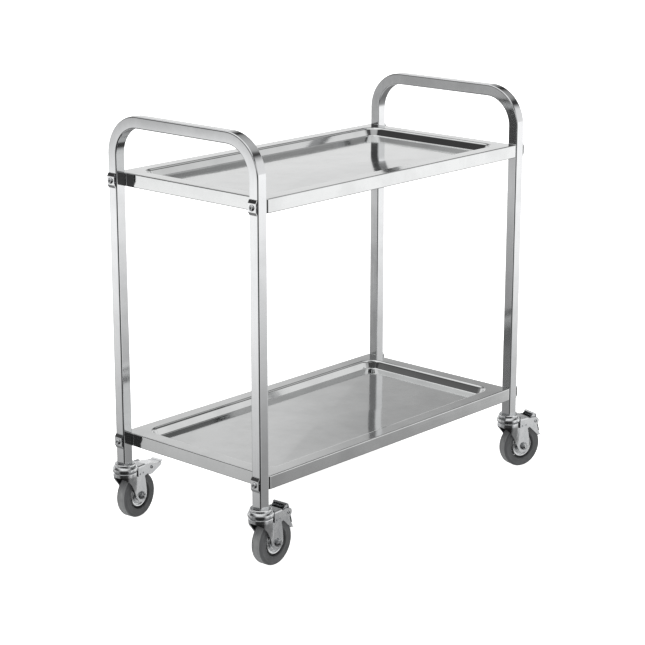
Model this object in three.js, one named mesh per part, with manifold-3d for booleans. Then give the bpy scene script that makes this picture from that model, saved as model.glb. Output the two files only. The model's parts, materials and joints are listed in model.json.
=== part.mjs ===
// Two-tier service trolley in stainless steel: two end frames of bent square tube, two pressed
// trays bolted between them, and four swivel casters with foot brakes.
// Millimetres. X runs along the trolley, Y across it, Z up. The floor is Z = 0, and the origin is
// the middle of the whole object's footprint.
import * as THREE from 'three';
import { mergeVertices } from 'three/addons/utils/BufferGeometryUtils.js';
import Module from 'manifold-3d';

const wasm = await Module();
wasm.setup();

// ---- driving dimensions ------------------------------------------------------------------
const GAP = 0.3;                    // air between pieces that touch
const BIG = 200;                    // reach of a cutting block past what it cuts

const FRAME_LENGTH = 854;           // over the outer faces of the two end frames
const FRAME_WIDTH = 430;            // over the outer faces of the legs
const HANDLE_TOP = 890;
const TUBE = 25;                    // square tube, outside
const TUBE_WALL = 1.2;
const TUBE_CORNER = 3;
const BEND_RADIUS = 75;             // of the tube's centre line
const LEG_BOTTOM = 131;

const TRAY_TOPS = { top: 764, bottom: 197 };
const SHEET = 1.2;                  // tray sheet
const APRON = 29;                   // depth of the tray's edge
const HEM = 12;                     // edge turned in under the tray
const BORDER = 30;                  // flat border round the recess
const RECESS = 18;                  // depth of the recess
const RECESS_CORNER = 35;           // plan radius of the recess at the border
const TRAY_CORNER = 6;

const SADDLE = { width: 24.4, height: 36, flat: 20, proud: 7, sheet: 1.8, toe: 1.2 };
const BOLT = { shank: 4, hole: 4.7, head: 6.5, dome: 3.6, socket: 2.4, past: 2 };
const WELD_NUT = { radius: 7.5, thick: 6.5 };

const WHEEL = { radius: 50, tread: 28, shoulder: 4, rim: 27, hubWidth: 30, hubSides: 14, sides: 26 };
const TRAIL = 33;                   // axle behind the swivel axis
const AXLE_RADIUS = 4.9;
const SHAFT_HOLE = 5.3;
const FORK = { crown: 25.5, half: 18.5, sheet: 2.5, top: 112, eye: 15.5, foldStart: 6, foldEnd: 19 };
const DOME = { radius: 27, neck: 23.4, seam: 114.8, low: 116, high: 121, collar: 21.4, step: 127 };
const KING_PIN = { radius: 5, head: 9.4, thick: 4.6 };
const BRACKET = { half: 20.8, sheet: 2, top: 119.5 };
const AXLE_HEX = { radius: 9, thick: 5.5 };
const NUT_HEX = { radius: 8.6, thick: 6, axlePast: 3 };
const PEDAL = { half: 18.2, sheet: 1.8, tail: 14.5, cheek: 16.8, nose: -17, tip: 40 };
const PIN = { x: 64.5, z: 106.5, radius: 3, hole: 3.4, head: 4.6, thick: 1.6 };
const BRAKE_SWING = 64;             // degrees between brake off (pedal flat) and brake on

// Swivel heading in degrees, and whether the brake is on, as the trolley stands.
const CORNERS = {
  front_left: { x: -1, y: -1, heading: 4, braked: true },
  back_left: { x: -1, y: 1, heading: 8, braked: false },
  front_right: { x: 1, y: -1, heading: -15.5, braked: true },
  back_right: { x: 1, y: 1, heading: 6, braked: false },
};

const LEG_X = (FRAME_LENGTH - TUBE) / 2;
const LEG_Y = (FRAME_WIDTH - TUBE) / 2;
const deg = THREE.MathUtils.degToRad;

// ---- materials ---------------------------------------------------------------------------
const finish = (color, roughness, metalness) =>
  new THREE.MeshStandardMaterial({ color, roughness, metalness });
const POLISHED = finish(0xd9dadb, 0.15, 1);
const TRAY_STEEL = finish(0xcfd0d1, 0.2, 1);
const ZINC = finish(0xb9bcc0, 0.35, 1);
const HUB_ZINC = finish(0xc9cbcd, 0.4, 1);
const RUBBER = finish(0x6c6d6e, 0.75, 0);

// ---- shape helpers -----------------------------------------------------------------------
// A closed mesh as a manifold solid.
function solid(geometry) {
  const bare = geometry.clone();
  bare.deleteAttribute('normal');
  bare.deleteAttribute('uv');
  const welded = mergeVertices(bare, 1e-4);
  const vertProperties = new Float32Array(welded.attributes.position.array);
  const triVerts = new Uint32Array(welded.index.array);
  return new wasm.Manifold(new wasm.Mesh({ numProp: 3, vertProperties, triVerts }));
}

// A manifold solid as a three.js geometry.
function geometryOf(manifold) {
  const mesh = manifold.getMesh();
  const geometry = new THREE.BufferGeometry();
  geometry.setAttribute('position', new THREE.BufferAttribute(new Float32Array(mesh.vertProperties), 3));
  geometry.setIndex(new THREE.BufferAttribute(new Uint32Array(mesh.triVerts), 1));
  geometry.computeVertexNormals();
  return geometry;
}

const cut = (body, ...tools) => tools.reduce((rest, tool) => rest.subtract(solid(tool)), body);
const join = (body, ...others) => others.reduce((sum, other) => sum.add(solid(other)), body);

const block = (lx, ly, lz, x, y, z) => new THREE.BoxGeometry(lx, ly, lz).translate(x, y, z);

// A round bar along an axis ('x', 'y' or 'z') through a point.
function bar(axis, radius, length, sides, x, y, z) {
  const rod = new THREE.CylinderGeometry(radius, radius, length, sides);
  if (axis === 'x') rod.rotateZ(Math.PI / 2);
  if (axis === 'z') rod.rotateX(Math.PI / 2);
  return rod.translate(x, y, z);
}

// A body of revolution about Z from [radius, height] pairs.
function turned(profile, sides) {
  const points = profile.map(([r, z]) => new THREE.Vector2(r, z));
  return new THREE.LatheGeometry(points, sides).rotateX(Math.PI / 2);
}

// A body of revolution about Y, from [radius, y] pairs, with a flat facet lowest.
function wheelTurned(profile, sides) {
  const points = profile.map(([r, y]) => new THREE.Vector2(r / Math.cos(Math.PI / sides), y));
  return new THREE.LatheGeometry([...points, points[0]], sides).rotateY(Math.PI / sides);
}

// A side view (x, z) given as a Shape, made into a plate that spans Y from -half to +half.
function plateXZ(shape, half, curveSegments = 6) {
  const settings = { depth: 2 * half, bevelEnabled: false, curveSegments };
  const geometry = new THREE.ExtrudeGeometry(shape, settings);
  return geometry.rotateX(Math.PI / 2).translate(0, half, 0);
}

function outline(points) {
  return new THREE.Shape(points.map(([x, y]) => new THREE.Vector2(x, y)));
}

// Points round a rectangle with rounded corners, anticlockwise seen from above.
function roundedLoop(halfX, halfY, radius, steps, z) {
  const loop = [];
  for (const [sx, sy, start] of [[1, 1, 0], [-1, 1, 90], [-1, -1, 180], [1, -1, 270]]) {
    for (let i = 0; i <= steps; i++) {
      const a = deg(start + (90 * i) / steps);
      const x = sx * (halfX - radius) + radius * Math.cos(a);
      const y = sy * (halfY - radius) + radius * Math.sin(a);
      loop.push(new THREE.Vector3(x, y, z));
    }
  }
  return loop;
}

// A closed skin through a stack of loops that have the same number of points, with flat ends.
function loft(loops) {
  const n = loops[0].length;
  const positions = loops.flat().flatMap((p) => [p.x, p.y, p.z]);
  const index = [];
  for (let k = 0; k + 1 < loops.length; k++) {
    for (let i = 0; i < n; i++) {
      const a = k * n + i;
      const b = k * n + ((i + 1) % n);
      index.push(a, b, b + n, a, b + n, a + n);
    }
  }
  const last = (loops.length - 1) * n;
  for (let i = 1; i + 1 < n; i++) {
    index.push(0, i + 1, i);
    index.push(last, last + i, last + i + 1);
  }
  const geometry = new THREE.BufferGeometry();
  geometry.setAttribute('position', new THREE.Float32BufferAttribute(positions, 3));
  geometry.setIndex(index);
  return geometry;
}

// ---- end frames --------------------------------------------------------------------------
// The centre line of an end frame: up one leg, round a bend, across the handle and down again.
class FrameLine extends THREE.Curve {
  constructor(bendSteps) {
    super();
    const spring = HANDLE_TOP - TUBE / 2 - BEND_RADIUS;
    const inner = LEG_Y - BEND_RADIUS;
    const station = (y, z, ty, tz) => ({
      point: new THREE.Vector3(0, y, z),
      tangent: new THREE.Vector3(0, ty, tz),
    });
    this.stations = [station(-LEG_Y, LEG_BOTTOM, 0, 1)];
    for (const side of [-1, 1]) {
      for (let i = 0; i <= bendSteps; i++) {
        const a = deg((side < 0 ? 180 : 90) - (90 * i) / bendSteps);
        const y = side * inner + BEND_RADIUS * Math.cos(a);
        const z = spring + BEND_RADIUS * Math.sin(a);
        this.stations.push(station(y, z, Math.sin(a), -Math.cos(a)));
      }
    }
    this.stations.push(station(LEG_Y, LEG_BOTTOM, 0, -1));
  }

  get steps() { return this.stations.length - 1; }

  getPointAt(u) { return this.stations[Math.round(u * this.steps)].point.clone(); }

  getTangentAt(u) { return this.stations[Math.round(u * this.steps)].tangent.clone(); }
}

function squareRing(size, corner, wall) {
  const ring = new THREE.Shape();
  const flat = size / 2 - corner;
  ring.absarc(flat, flat, corner, 0, Math.PI / 2);
  ring.absarc(-flat, flat, corner, Math.PI / 2, Math.PI);
  ring.absarc(-flat, -flat, corner, Math.PI, 1.5 * Math.PI);
  ring.absarc(flat, -flat, corner, 1.5 * Math.PI, 2 * Math.PI);
  const h = size / 2 - wall;
  const bore = [[h, h], [-h, h], [-h, -h], [h, -h]].map(([x, y]) => new THREE.Vector2(x, y));
  ring.holes.push(new THREE.Path(bore));
  return ring;
}

const boltHeights = Object.values(TRAY_TOPS).map((z) => z - APRON / 2);

function endFrame() {
  const line = new FrameLine(8);
  const tube = new THREE.ExtrudeGeometry(squareRing(TUBE, TUBE_CORNER, TUBE_WALL),
    { steps: line.steps, extrudePath: line, curveSegments: 1 });
  const holes = boltHeights.flatMap((z) => [-LEG_Y, LEG_Y].map((y) =>
    bar('x', BOLT.hole, 2 * TUBE, 8, 0, y, z)));
  return geometryOf(cut(solid(tube), ...holes));
}

// ---- trays -------------------------------------------------------------------------------
// A pressed tray: hem, apron, flat border, rounded lip, sloping wall and sunk floor. Each row is
// [distance in from the tray's outer edge, height from the border's face].
function tray() {
  const halfX = FRAME_LENGTH / 2 - TUBE - GAP;
  const halfY = FRAME_WIDTH / 2;
  const lip = [[BORDER, 0], [BORDER + 3.4, -1.4], [BORDER + 5.4, -4.5], [BORDER + 10.6, -RECESS + 4],
    [BORDER + 13, -RECESS + 1.1], [BORDER + 16.5, -RECESS]];
  const lipUnder = [[BORDER, -SHEET], [BORDER + 4.2, -5], [BORDER + 9.5, -RECESS + 3.5],
    [BORDER + 15, -RECESS - SHEET]];
  const under = [[HEM, SHEET - APRON], [SHEET, SHEET - APRON], [SHEET, -1.5 - SHEET], [2.6, -SHEET],
    ...lipUnder];
  const over = [[HEM, -APRON], [1.5, -APRON], [0, 1.5 - APRON], [0, -2.5], [0.8, -0.8], [2.5, 0], ...lip];
  const cornerAt = (d) => (d < BORDER ? Math.max(TRAY_CORNER - d, 2.5) : RECESS_CORNER + BORDER - d);
  const loops = [...under.reverse(), ...over].map(([d, z]) =>
    roundedLoop(halfX - d, halfY - d, cornerAt(d), 4, z));
  const nuts = [];
  const holes = [];
  for (const sx of [-1, 1]) {
    for (const sy of [-1, 1]) {
      const depth = WELD_NUT.thick + SHEET / 2;
      const x = sx * (halfX - SHEET / 2 - depth / 2);
      nuts.push(bar('x', WELD_NUT.radius, depth, 6, x, sy * LEG_Y, -APRON / 2));
      holes.push(bar('x', BOLT.hole, 4 * depth, 8, x, sy * LEG_Y, -APRON / 2));
    }
  }
  return geometryOf(cut(join(solid(loft(loops)), ...nuts), ...holes));
}

// ---- saddle plates and bolts -------------------------------------------------------------
// A strip bent into a shallow bridge that bears on the leg's outer face. It stands on X = 0.
function saddle() {
  const { width, height, flat, proud, sheet, toe } = SADDLE;
  const h = height / 2;
  const f = flat / 2;
  const inner = proud - sheet;
  const strip = outline([[0, -h], [toe, -h], [proud, -f], [proud, f], [toe, h], [0, h],
    [0, h - sheet], [inner, f - sheet / 2], [inner, sheet / 2 - f], [0, sheet - h]]);
  return geometryOf(cut(solid(plateXZ(strip, width / 2)), bar('x', BOLT.hole, 4 * proud, 8, 0, 0, 0)));
}

// A button-head bolt. Its head bears on X = 0 and its shank runs in towards -X.
function saddleBolt() {
  const length = SADDLE.proud + 2 * GAP + TUBE + SHEET + WELD_NUT.thick + BOLT.past;
  const profile = [[0, -length], [BOLT.shank, -length], [BOLT.shank, 0], [BOLT.head, 0], [BOLT.head, 0.8],
    [0.72 * BOLT.head, 0.85 * BOLT.dome], [0, BOLT.dome]];
  const body = solid(turned(profile, 8).rotateY(Math.PI / 2));
  return geometryOf(cut(body, bar('x', BOLT.socket, 4, 6, BOLT.dome, 0, 0)));
}

// ---- casters -----------------------------------------------------------------------------
// Every caster piece is drawn with the swivel axis on Z and the wheel trailing towards +X.

// Square plug for the leg, collar, domed race cover and the king pin riveted under the crown.
function casterStem() {
  const { radius, neck, seam, low, high, collar, step } = DOME;
  const under = FORK.top - FORK.sheet - GAP;
  const over = FORK.top + GAP;
  const profile = [[0, under - KING_PIN.thick], [0.9 * KING_PIN.head, under - KING_PIN.thick],
    [KING_PIN.head, under], [KING_PIN.radius, under], [KING_PIN.radius, over], [neck, over],
    [neck, seam], [radius, low], [radius, high], [radius - 2.4, step - 1.6], [collar, step],
    [collar, LEG_BOTTOM - GAP], [0, LEG_BOTTOM - GAP]];
  const plug = TUBE - 2 * TUBE_WALL - 2 * GAP;
  return geometryOf(join(solid(turned(profile, 14)),
    block(plug, plug, 38, 0, 0, LEG_BOTTOM + 18),
    block(plug - 4, plug - 4, 42, 0, 0, LEG_BOTTOM + 20)));
}

// Plan outline of the pressed fork at one level: a round front that closes in to flat sides.
function forkLoop(round, half, tail, z) {
  const loop = [];
  const steps = 6;
  for (let i = 0; i <= steps; i++) {
    const a = deg(90 + (180 * i) / steps);
    loop.push(new THREE.Vector3(round * Math.cos(a), Math.max(round, half) * Math.sin(a), z));
  }
  const { foldStart, foldEnd } = FORK;
  const fold = (foldStart + foldEnd) / 2;
  const side = (s) => [[foldStart, round], [fold, 0.35 * round + 0.65 * half], [foldEnd, half], [tail, half]]
    .map(([x, y]) => new THREE.Vector3(x, s * y, z));
  return [...loop, ...side(-1), ...side(1).reverse()];
}

// Side view of the fork: sloping leading edge, round eye at the axle, upright trailing edge.
function forkSideView() {
  const view = new THREE.Shape();
  const { eye, top } = FORK;
  view.moveTo(-40, top + 10);
  view.lineTo(-40, 103);
  view.lineTo(-27, 101.5);
  view.quadraticCurveTo(-8, 90, 3.6, 72);
  view.absarc(TRAIL, WHEEL.radius, eye, deg(208), deg(360));
  view.quadraticCurveTo(46.5, 72, 41, 96);
  view.lineTo(40.5, top + 10);
  view.closePath();
  return view;
}

function casterFork() {
  const { crown, half, sheet, top } = FORK;
  // Each level is [height, how far the round crown has spread, how far the shoulder has drawn in].
  const skirt = [[30, 0, 0], [66, 0.1, 0], [92, 0.8, 0]];
  const shell = (inset, tail, levels) => loft(levels.map(([z, spread, shoulder]) => {
    const round = half + (crown - half) * spread - inset - shoulder;
    return forkLoop(round, half - inset - 0.45 * shoulder, tail - shoulder, z);
  }));
  const skin = solid(shell(0, 60, [...skirt, [top - 5, 1, 0], [top - 1.5, 1, 1.5], [top, 1, 4.5]]));
  const inside = solid(shell(sheet, 70, [...skirt, [top - sheet - 2, 1, 0], [top - sheet, 1, 2.5]]));
  const hole = SHAFT_HOLE + GAP;
  return geometryOf(cut(skin.subtract(inside).intersect(solid(plateXZ(forkSideView(), BIG, 4))),
    bar('z', hole, 20, 8, 0, 0, top),
    bar('y', hole, BIG, 8, TRAIL, 0, WHEEL.radius)));
}

// Axle bolt with a hex head on the +Y side, and its nut on the -Y side.
const AXLE_SEAT = FORK.half + GAP;

function casterAxle() {
  const { radius, thick } = AXLE_HEX;
  const end = AXLE_SEAT + NUT_HEX.thick + NUT_HEX.axlePast;
  const inHead = AXLE_SEAT + 1;
  const body = solid(bar('y', AXLE_RADIUS, end + inHead, 10, TRAIL, (inHead - end) / 2, WHEEL.radius));
  return geometryOf(join(body, bar('y', radius, thick, 6, TRAIL, AXLE_SEAT + thick / 2, WHEEL.radius)));
}

function casterNut() {
  const { radius, thick } = NUT_HEX;
  const body = solid(bar('y', radius, thick, 6, TRAIL, -AXLE_SEAT - thick / 2, WHEEL.radius));
  return geometryOf(cut(body, bar('y', SHAFT_HOLE + GAP, BIG, 8, TRAIL, 0, WHEEL.radius)));
}

function wheelHub() {
  const w = WHEEL.hubWidth / 2;
  const profile = [[SHAFT_HOLE, -w], [9, -w], [10, -8], [20, -6.5], [23.5, -11.5], [WHEEL.rim, -11.5],
    [WHEEL.rim, 11.5], [23.5, 11.5], [20, 6.5], [10, 8], [9, w], [SHAFT_HOLE, w]];
  return wheelTurned(profile, WHEEL.hubSides).translate(TRAIL, 0, WHEEL.radius);
}

function wheelTyre() {
  const { radius, tread, shoulder, rim, sides } = WHEEL;
  const w = tread / 2;
  const bore = rim / Math.cos(Math.PI / WHEEL.hubSides) + GAP;
  const profile = [[bore, -w], [radius - shoulder, -w], [radius - 1, 1.2 - w],
    [radius, shoulder - w], [radius, w - shoulder], [radius - 1, w - 1.2], [radius - shoulder, w], [bore, w]];
  return wheelTurned(profile, sides).translate(TRAIL, 0, WHEEL.radius);
}

// Brake bracket: a channel spot-welded over the back of the fork, open behind for the pedal.
function brakeBracket() {
  const { half, sheet, top } = BRACKET;
  const view = new THREE.Shape();
  view.moveTo(19.5, 96);
  view.lineTo(40, 93);
  view.lineTo(60, 97.5);
  view.absarc(PIN.x, PIN.z, 9.5, deg(-110), deg(70));
  view.lineTo(57, top);
  view.lineTo(27, top);
  view.quadraticCurveTo(19.5, top - 0.5, 19.5, 112);
  view.closePath();
  const inner = 2 * (half - sheet);
  return geometryOf(cut(solid(plateXZ(view, half, 5)),
    block(BIG, inner, BIG, 0, 0, top - sheet - BIG / 2),
    block(BIG, inner, BIG, 43.5 + BIG / 2, 0, top),
    bar('z', DOME.radius + 1.5, 20, 14, 0, 0, FORK.top + 10 + GAP),
    bar('y', PIN.hole, BIG, 8, PIN.x, 0, PIN.z)));
}

// Brake pedal, drawn with the brake off and its pin at X = 0, Z = 0: a cranked plate on two cheeks
// that straddle the tyre, and a shoe between them that swings down on to the tread.
function brakePedal() {
  const { half, sheet, tail, cheek, nose, tip } = PEDAL;
  const crank = [[nose, 9.8], [8, 5.4], [27.5, 1.6], [45, 3.4]];
  const below = [...crank].reverse().map(([x, z]) => [x, z - sheet]);
  const plate = plateXZ(outline([...crank, ...below]), half);
  const side = new THREE.Shape();
  side.moveTo(nose, 9.8 - sheet / 2);
  side.quadraticCurveTo(-16, -7, -8, -14.5);
  side.quadraticCurveTo(0, -21.5, 10, -17);
  side.lineTo(tip - 1.5, -6.5);
  side.lineTo(tip, -4);
  side.lineTo(tip - 1, 2);
  side.lineTo(27.5, 1.6 - sheet / 2);
  side.lineTo(8, 5.4 - sheet / 2);
  side.closePath();
  const inner = cheek - sheet;
  const cheeks = plateXZ(side, cheek, 5);
  const shoe = plateXZ(outline([[4.4, -9.6], [6.2, -11.3], [11.2, -6.6], [9.6, -4.6]]), inner + 0.4);
  const trim = [-1, 1].map((s) => block(40, 20, 60, 50, s * (tail + 10), 0));
  const straddle = cut(solid(cheeks), block(BIG, 2 * inner, BIG, 0, 0, 0));
  return geometryOf(cut(join(straddle, plate, shoe), ...trim, bar('y', PIN.hole, BIG, 8, 0, 0, 0)));
}

// Pin riveted over outside the bracket.
function pedalPin() {
  const { radius, head, thick } = PIN;
  const seat = BRACKET.half + GAP;
  const profile = [[0, -seat - thick], [head, -seat], [radius, -seat],
    [radius, seat], [head, seat], [0, seat + thick]];
  return turned(profile, 8).rotateX(-Math.PI / 2).translate(PIN.x, 0, PIN.z);
}

// ---- assembly ----------------------------------------------------------------------------
function mesh(name, geometry, material, x = 0, y = 0, z = 0) {
  const piece = new THREE.Mesh(geometry, material);
  piece.name = name;
  piece.position.set(x, y, z);
  return piece;
}

const frameShape = endFrame();
const trayShape = tray();
const saddleShape = saddle();
const boltShape = saddleBolt();
const casterShapes = {
  stem: [casterStem(), ZINC],
  fork: [casterFork(), ZINC],
  axle: [casterAxle(), ZINC],
  nut: [casterNut(), ZINC],
  hub: [wheelHub(), HUB_ZINC],
  tyre: [wheelTyre(), RUBBER],
  brake_bracket: [brakeBracket(), ZINC],
  brake_pin: [pedalPin(), ZINC],
};
const pedalShape = brakePedal();

// A saddle plate and its bolt at one leg and one tray, set on the leg's outer face.
function legFixing(level, corner, height) {
  const { x, y } = CORNERS[corner];
  const group = new THREE.Group();
  group.position.set(x * (FRAME_LENGTH / 2 + GAP), y * LEG_Y, height);
  group.rotation.z = x < 0 ? Math.PI : 0;
  group.add(mesh(`${level}_saddle_${corner}`, saddleShape, POLISHED));
  group.add(mesh(`${level}_bolt_${corner}`, boltShape, ZINC, SADDLE.proud + GAP));
  return group;
}

function caster(corner) {
  const { x, y, heading, braked } = CORNERS[corner];
  const group = new THREE.Group();
  group.position.set(x * LEG_X, y * LEG_Y, 0);
  const swivel = new THREE.Group();
  swivel.rotation.z = deg(heading);
  for (const [piece, [geometry, material]] of Object.entries(casterShapes)) {
    (piece === 'stem' ? group : swivel).add(mesh(`${corner}_${piece}`, geometry, material));
  }
  const pedal = mesh(`${corner}_brake_pedal`, pedalShape, ZINC, PIN.x, 0, PIN.z);
  pedal.rotation.y = braked ? deg(BRAKE_SWING) : 0;
  swivel.add(pedal);
  group.add(swivel);
  return group;
}

const trolley = new THREE.Group();
trolley.add(mesh('left_end_frame', frameShape, POLISHED, -LEG_X));
trolley.add(mesh('right_end_frame', frameShape, POLISHED, LEG_X));
for (const [level, top] of Object.entries(TRAY_TOPS)) {
  trolley.add(mesh(`${level}_tray`, trayShape, TRAY_STEEL, 0, 0, top));
  for (const corner of Object.keys(CORNERS)) trolley.add(legFixing(level, corner, top - APRON / 2));
}
for (const corner of Object.keys(CORNERS)) trolley.add(caster(corner));

// Set the middle of the footprint on the origin; the casters trail past one end.
trolley.updateMatrixWorld(true);
const middle = new THREE.Box3().setFromObject(trolley, true).getCenter(new THREE.Vector3());
const part = new THREE.Group();
trolley.position.set(-middle.x, -middle.y, 0);
part.add(trolley);

export default part;
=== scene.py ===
"""Looks of a two-tier stainless steel service trolley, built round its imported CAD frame.

Two end frames of bent square tube carry two pressed trays, and each leg stands on a swivel caster
with a foot brake. Every piece is drawn in millimetres and stands for the CAD node that it replaces.
"""

import json
import logging
import math
from collections.abc import Sequence
from dataclasses import dataclass
from enum import Enum, StrEnum

import bmesh
import bpy
from mathutils import Matrix, Vector


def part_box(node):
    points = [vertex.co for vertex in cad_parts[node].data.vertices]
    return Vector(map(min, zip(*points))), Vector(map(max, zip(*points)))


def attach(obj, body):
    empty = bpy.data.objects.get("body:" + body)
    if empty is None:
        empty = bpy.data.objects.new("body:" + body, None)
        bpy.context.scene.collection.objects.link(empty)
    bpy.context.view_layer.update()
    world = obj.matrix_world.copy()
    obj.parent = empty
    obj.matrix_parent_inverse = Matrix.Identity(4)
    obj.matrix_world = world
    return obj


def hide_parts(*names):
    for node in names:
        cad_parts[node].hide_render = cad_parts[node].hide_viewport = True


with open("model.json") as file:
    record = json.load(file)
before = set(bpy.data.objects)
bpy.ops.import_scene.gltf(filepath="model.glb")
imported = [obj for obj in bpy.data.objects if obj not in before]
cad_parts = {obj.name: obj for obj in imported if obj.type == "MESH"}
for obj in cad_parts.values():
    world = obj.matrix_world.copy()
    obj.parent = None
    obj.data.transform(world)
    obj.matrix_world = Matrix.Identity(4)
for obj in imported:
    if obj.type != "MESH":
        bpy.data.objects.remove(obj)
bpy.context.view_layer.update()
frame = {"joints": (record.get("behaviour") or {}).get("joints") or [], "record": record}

LOG = logging.getLogger("trolley")
MM = 0.001
# Share of a line's side that the rounding of one of its corners may take.
ROOM = 0.49
# Points closer than this are one point, mm.
WELD = 0.002
# Signs of the corners of a rectangle, in order round it.
QUADRANTS = ((1, 1), (-1, 1), (-1, -1), (1, -1))

Pair = tuple[float, float]
Corner = tuple[float, float, float]
Rows = list[list[Vector]]


class Slot(Enum):
    """Material slots of the record."""

    POLISHED = "polished_stainless"
    TRAY = "tray_stainless"
    ZINC = "zinc_plate"
    DISC = "wheel_disc"
    FASTENERS = "fasteners"
    RUBBER = "grey_rubber"


class Brake(Enum):
    """State of a caster's brake as the trolley stands."""

    ON = "on"
    OFF = "off"


class Axis(Enum):
    """The axis that a piece is turned round, or that a plate lies across."""

    X = "x"
    Y = "y"
    Z = "z"


class Level(StrEnum):
    """The two trays."""

    TOP = "top"
    BOTTOM = "bottom"


class Leg(StrEnum):
    """The four legs, each with its caster."""

    FRONT_LEFT = "front_left"
    BACK_LEFT = "back_left"
    FRONT_RIGHT = "front_right"
    BACK_RIGHT = "back_right"


# ---- drawing ------------------------------------------------------------------------------


def rounded(corners: Sequence[Corner], steps: int = 5, closed: bool = False) -> list[Pair]:
    """Rounds the corners of a line in a plane.

    Args:
        corners: points (a, b, radius) of the line.
        steps: segments in each rounding.
        closed: True if the last point joins the first.

    Returns:
        The points of the rounded line.
    """
    line: list[Pair] = []
    count = len(corners)
    for i, (a, b, radius) in enumerate(corners):
        point = Vector((a, b))
        if radius <= 0 or (not closed and i in (0, count - 1)):
            line.append((a, b))
            continue
        back = Vector(corners[i - 1][:2]) - point
        ahead = Vector(corners[(i + 1) % count][:2]) - point
        half = back.angle(ahead) / 2
        reach = min(radius / math.tan(half), ROOM * back.length, ROOM * ahead.length)
        true_radius = reach * math.tan(half)
        middle = (back.normalized() + ahead.normalized()).normalized()
        centre = point + middle * (true_radius / math.sin(half))
        start = point + back.normalized() * reach - centre
        end = point + ahead.normalized() * reach - centre
        turn = math.atan2(start.x * end.y - start.y * end.x, start.dot(end))
        for k in range(steps + 1):
            c, s = math.cos(turn * k / steps), math.sin(turn * k / steps)
            line.append((centre.x + start.x * c - start.y * s, centre.y + start.x * s + start.y * c))
    return line


def mix(a: Vector, b: Vector, share: float) -> Vector:
    """The point that lies share of the way from a to b."""
    return a + (b - a) * share


def bezier(a: Pair, handle: Pair, b: Pair, share: float) -> Pair:
    """A point of a quadratic curve from a to b that leans on handle."""
    p = mix(mix(Vector(a), Vector(handle), share), mix(Vector(handle), Vector(b), share), share)
    return (p.x, p.y)


def along(line: Sequence[Pair], count: int) -> list[Pair]:
    """Spaces points evenly along a line.

    Args:
        line: the points of the line.
        count: how many points to return.

    Returns:
        Points at equal distances along the line, both ends included.
    """
    points = [Vector(p) for p in line]
    reach = [0.0]
    for a, b in zip(points, points[1:]):
        reach.append(reach[-1] + (b - a).length)
    spaced: list[Pair] = []
    k = 0
    for i in range(count):
        target = reach[-1] * i / (count - 1)
        while k < len(reach) - 2 and reach[k + 1] < target:
            k += 1
        span = max(reach[k + 1] - reach[k], 1e-9)
        p = mix(points[k], points[k + 1], (target - reach[k]) / span)
        spaced.append((p.x, p.y))
    return spaced


def beside(line: Sequence[Pair], distance: float) -> list[Pair]:
    """Sets a line off to its right-hand side.

    Args:
        line: the points of the line.
        distance: how far to set it off.

    Returns:
        The points of the new line.
    """
    moved: list[Pair] = []
    for i, (x, z) in enumerate(line):
        run = Vector(line[min(i + 1, len(line) - 1)]) - Vector(line[max(i - 1, 0)])
        run.normalize()
        moved.append((x + run.y * distance, z - run.x * distance))
    return moved


def height_at(line: Sequence[Pair], x: float) -> float:
    """Reads the height of a line at a place.

    Args:
        line: points (x, height), in order of x.
        x: the place.

    Returns:
        The height there, or the last point's height beyond the end.
    """
    for (xa, za), (xb, zb) in zip(line, line[1:]):
        if x <= xb:
            share = 0.0 if xb == xa else max(0.0, (x - xa) / (xb - xa))
            return za + (zb - za) * share
    return line[-1][1]


def arc(centre: Pair, radius: float, start: float, end: float, steps: int) -> list[Pair]:
    """Points round part of a circle, from start to end in degrees, both included."""
    turns = [math.radians(start + (end - start) * k / steps) for k in range(steps + 1)]
    return [(centre[0] + radius * math.cos(a), centre[1] + radius * math.sin(a)) for a in turns]


def hexagon_radius(flat: float, angle: float) -> float:
    """Distance to a hexagon's edge at an angle in radians, where flat is the distance to its flats."""
    inside = (angle + math.pi / 6) % (math.pi / 3) - math.pi / 6
    return flat / math.cos(inside)


def mirrored(half: Sequence[Corner]) -> list[Corner]:
    """Adds the half across Y = 0 to half a turned profile of (radius, Y, rounding) points."""
    return [*half, *((r, -y, radius) for r, y, radius in reversed(half))]


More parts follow.
